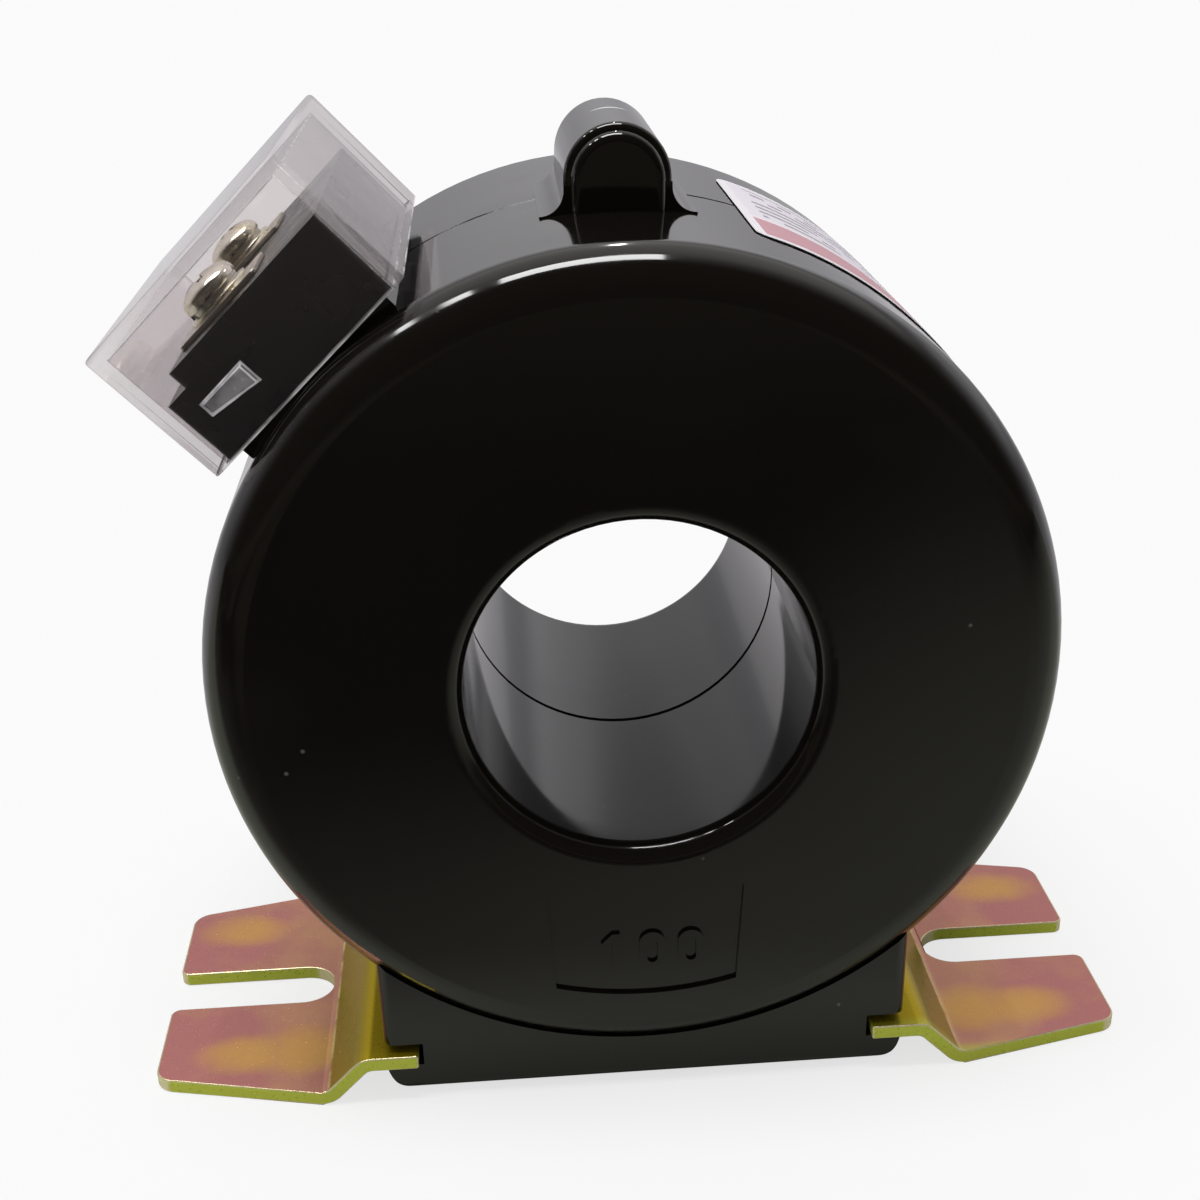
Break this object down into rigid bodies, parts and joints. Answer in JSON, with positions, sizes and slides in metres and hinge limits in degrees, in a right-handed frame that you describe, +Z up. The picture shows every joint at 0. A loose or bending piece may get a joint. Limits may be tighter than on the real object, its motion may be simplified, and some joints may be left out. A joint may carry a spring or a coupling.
{
  "type": "current transformer",
  "caption": "Ring-shaped window current transformer with a clear terminal cover and slotted sheet-metal feet.",
  "frame": {"origin": "on the window's axis at the ring's mid depth", "axes": "+Y through the window towards the back, +Z up away from the feet, +X to the right seen from the front"},
  "size_m": [0.1328, 0.074, 0.1206],
  "materials": {
    "black_shell": "polished black thermoplastic",
    "block_plastic": "satin black thermoplastic",
    "clear_plastic": "clear polycarbonate",
    "yellow_zinc": "zinc plated steel, yellow iridescent passivation",
    "plated_steel": "bright zinc or nickel plated steel",
    "plated_brass": "nickel plated brass",
    "core_steel": "wound silicon steel strip",
    "copper": "enamelled copper wire",
    "insulating_board": "pressed insulating board",
    "tape": "woven insulating tape",
    "lead_red": "PVC insulated lead",
    "lead_blue": "PVC insulated lead",
    "label_paper": "printed film sticker"
  },
  "bodies": {
    "transformer": {"front_shell": "black_shell", "rear_shell": "black_shell", "core": "core_steel", "core_insulation": "insulating_board", "winding": "copper", "outer_wrap": "tape", "lead_1": "lead_red", "lead_2": "lead_blue", "terminal_block": "block_plastic", "terminal_plate_1": "plated_brass", "terminal_plate_2": "plated_brass", "terminal_nut_1": "plated_steel", "terminal_nut_2": "plated_steel", "flat_washer_1": "plated_steel", "flat_washer_2": "plated_steel", "spring_washer_1": "plated_steel", "spring_washer_2": "plated_steel", "terminal_screw_1": "plated_steel", "terminal_screw_2": "plated_steel", "foot_left": "yellow_zinc", "foot_right": "yellow_zinc", "lug_screw": "plated_steel", "base_screw_left": "plated_steel", "base_screw_right": "plated_steel", "rating_label": "label_paper"},
    "cover": {"terminal_cover": "clear_plastic"}
  },
  "joints": [
    {"name": "cover_pull", "type": "slide", "parent": "transformer", "child": "cover", "axis": [-0.6884, 0, 0.7254], "range_m": [0, 0.024]}
  ]
}
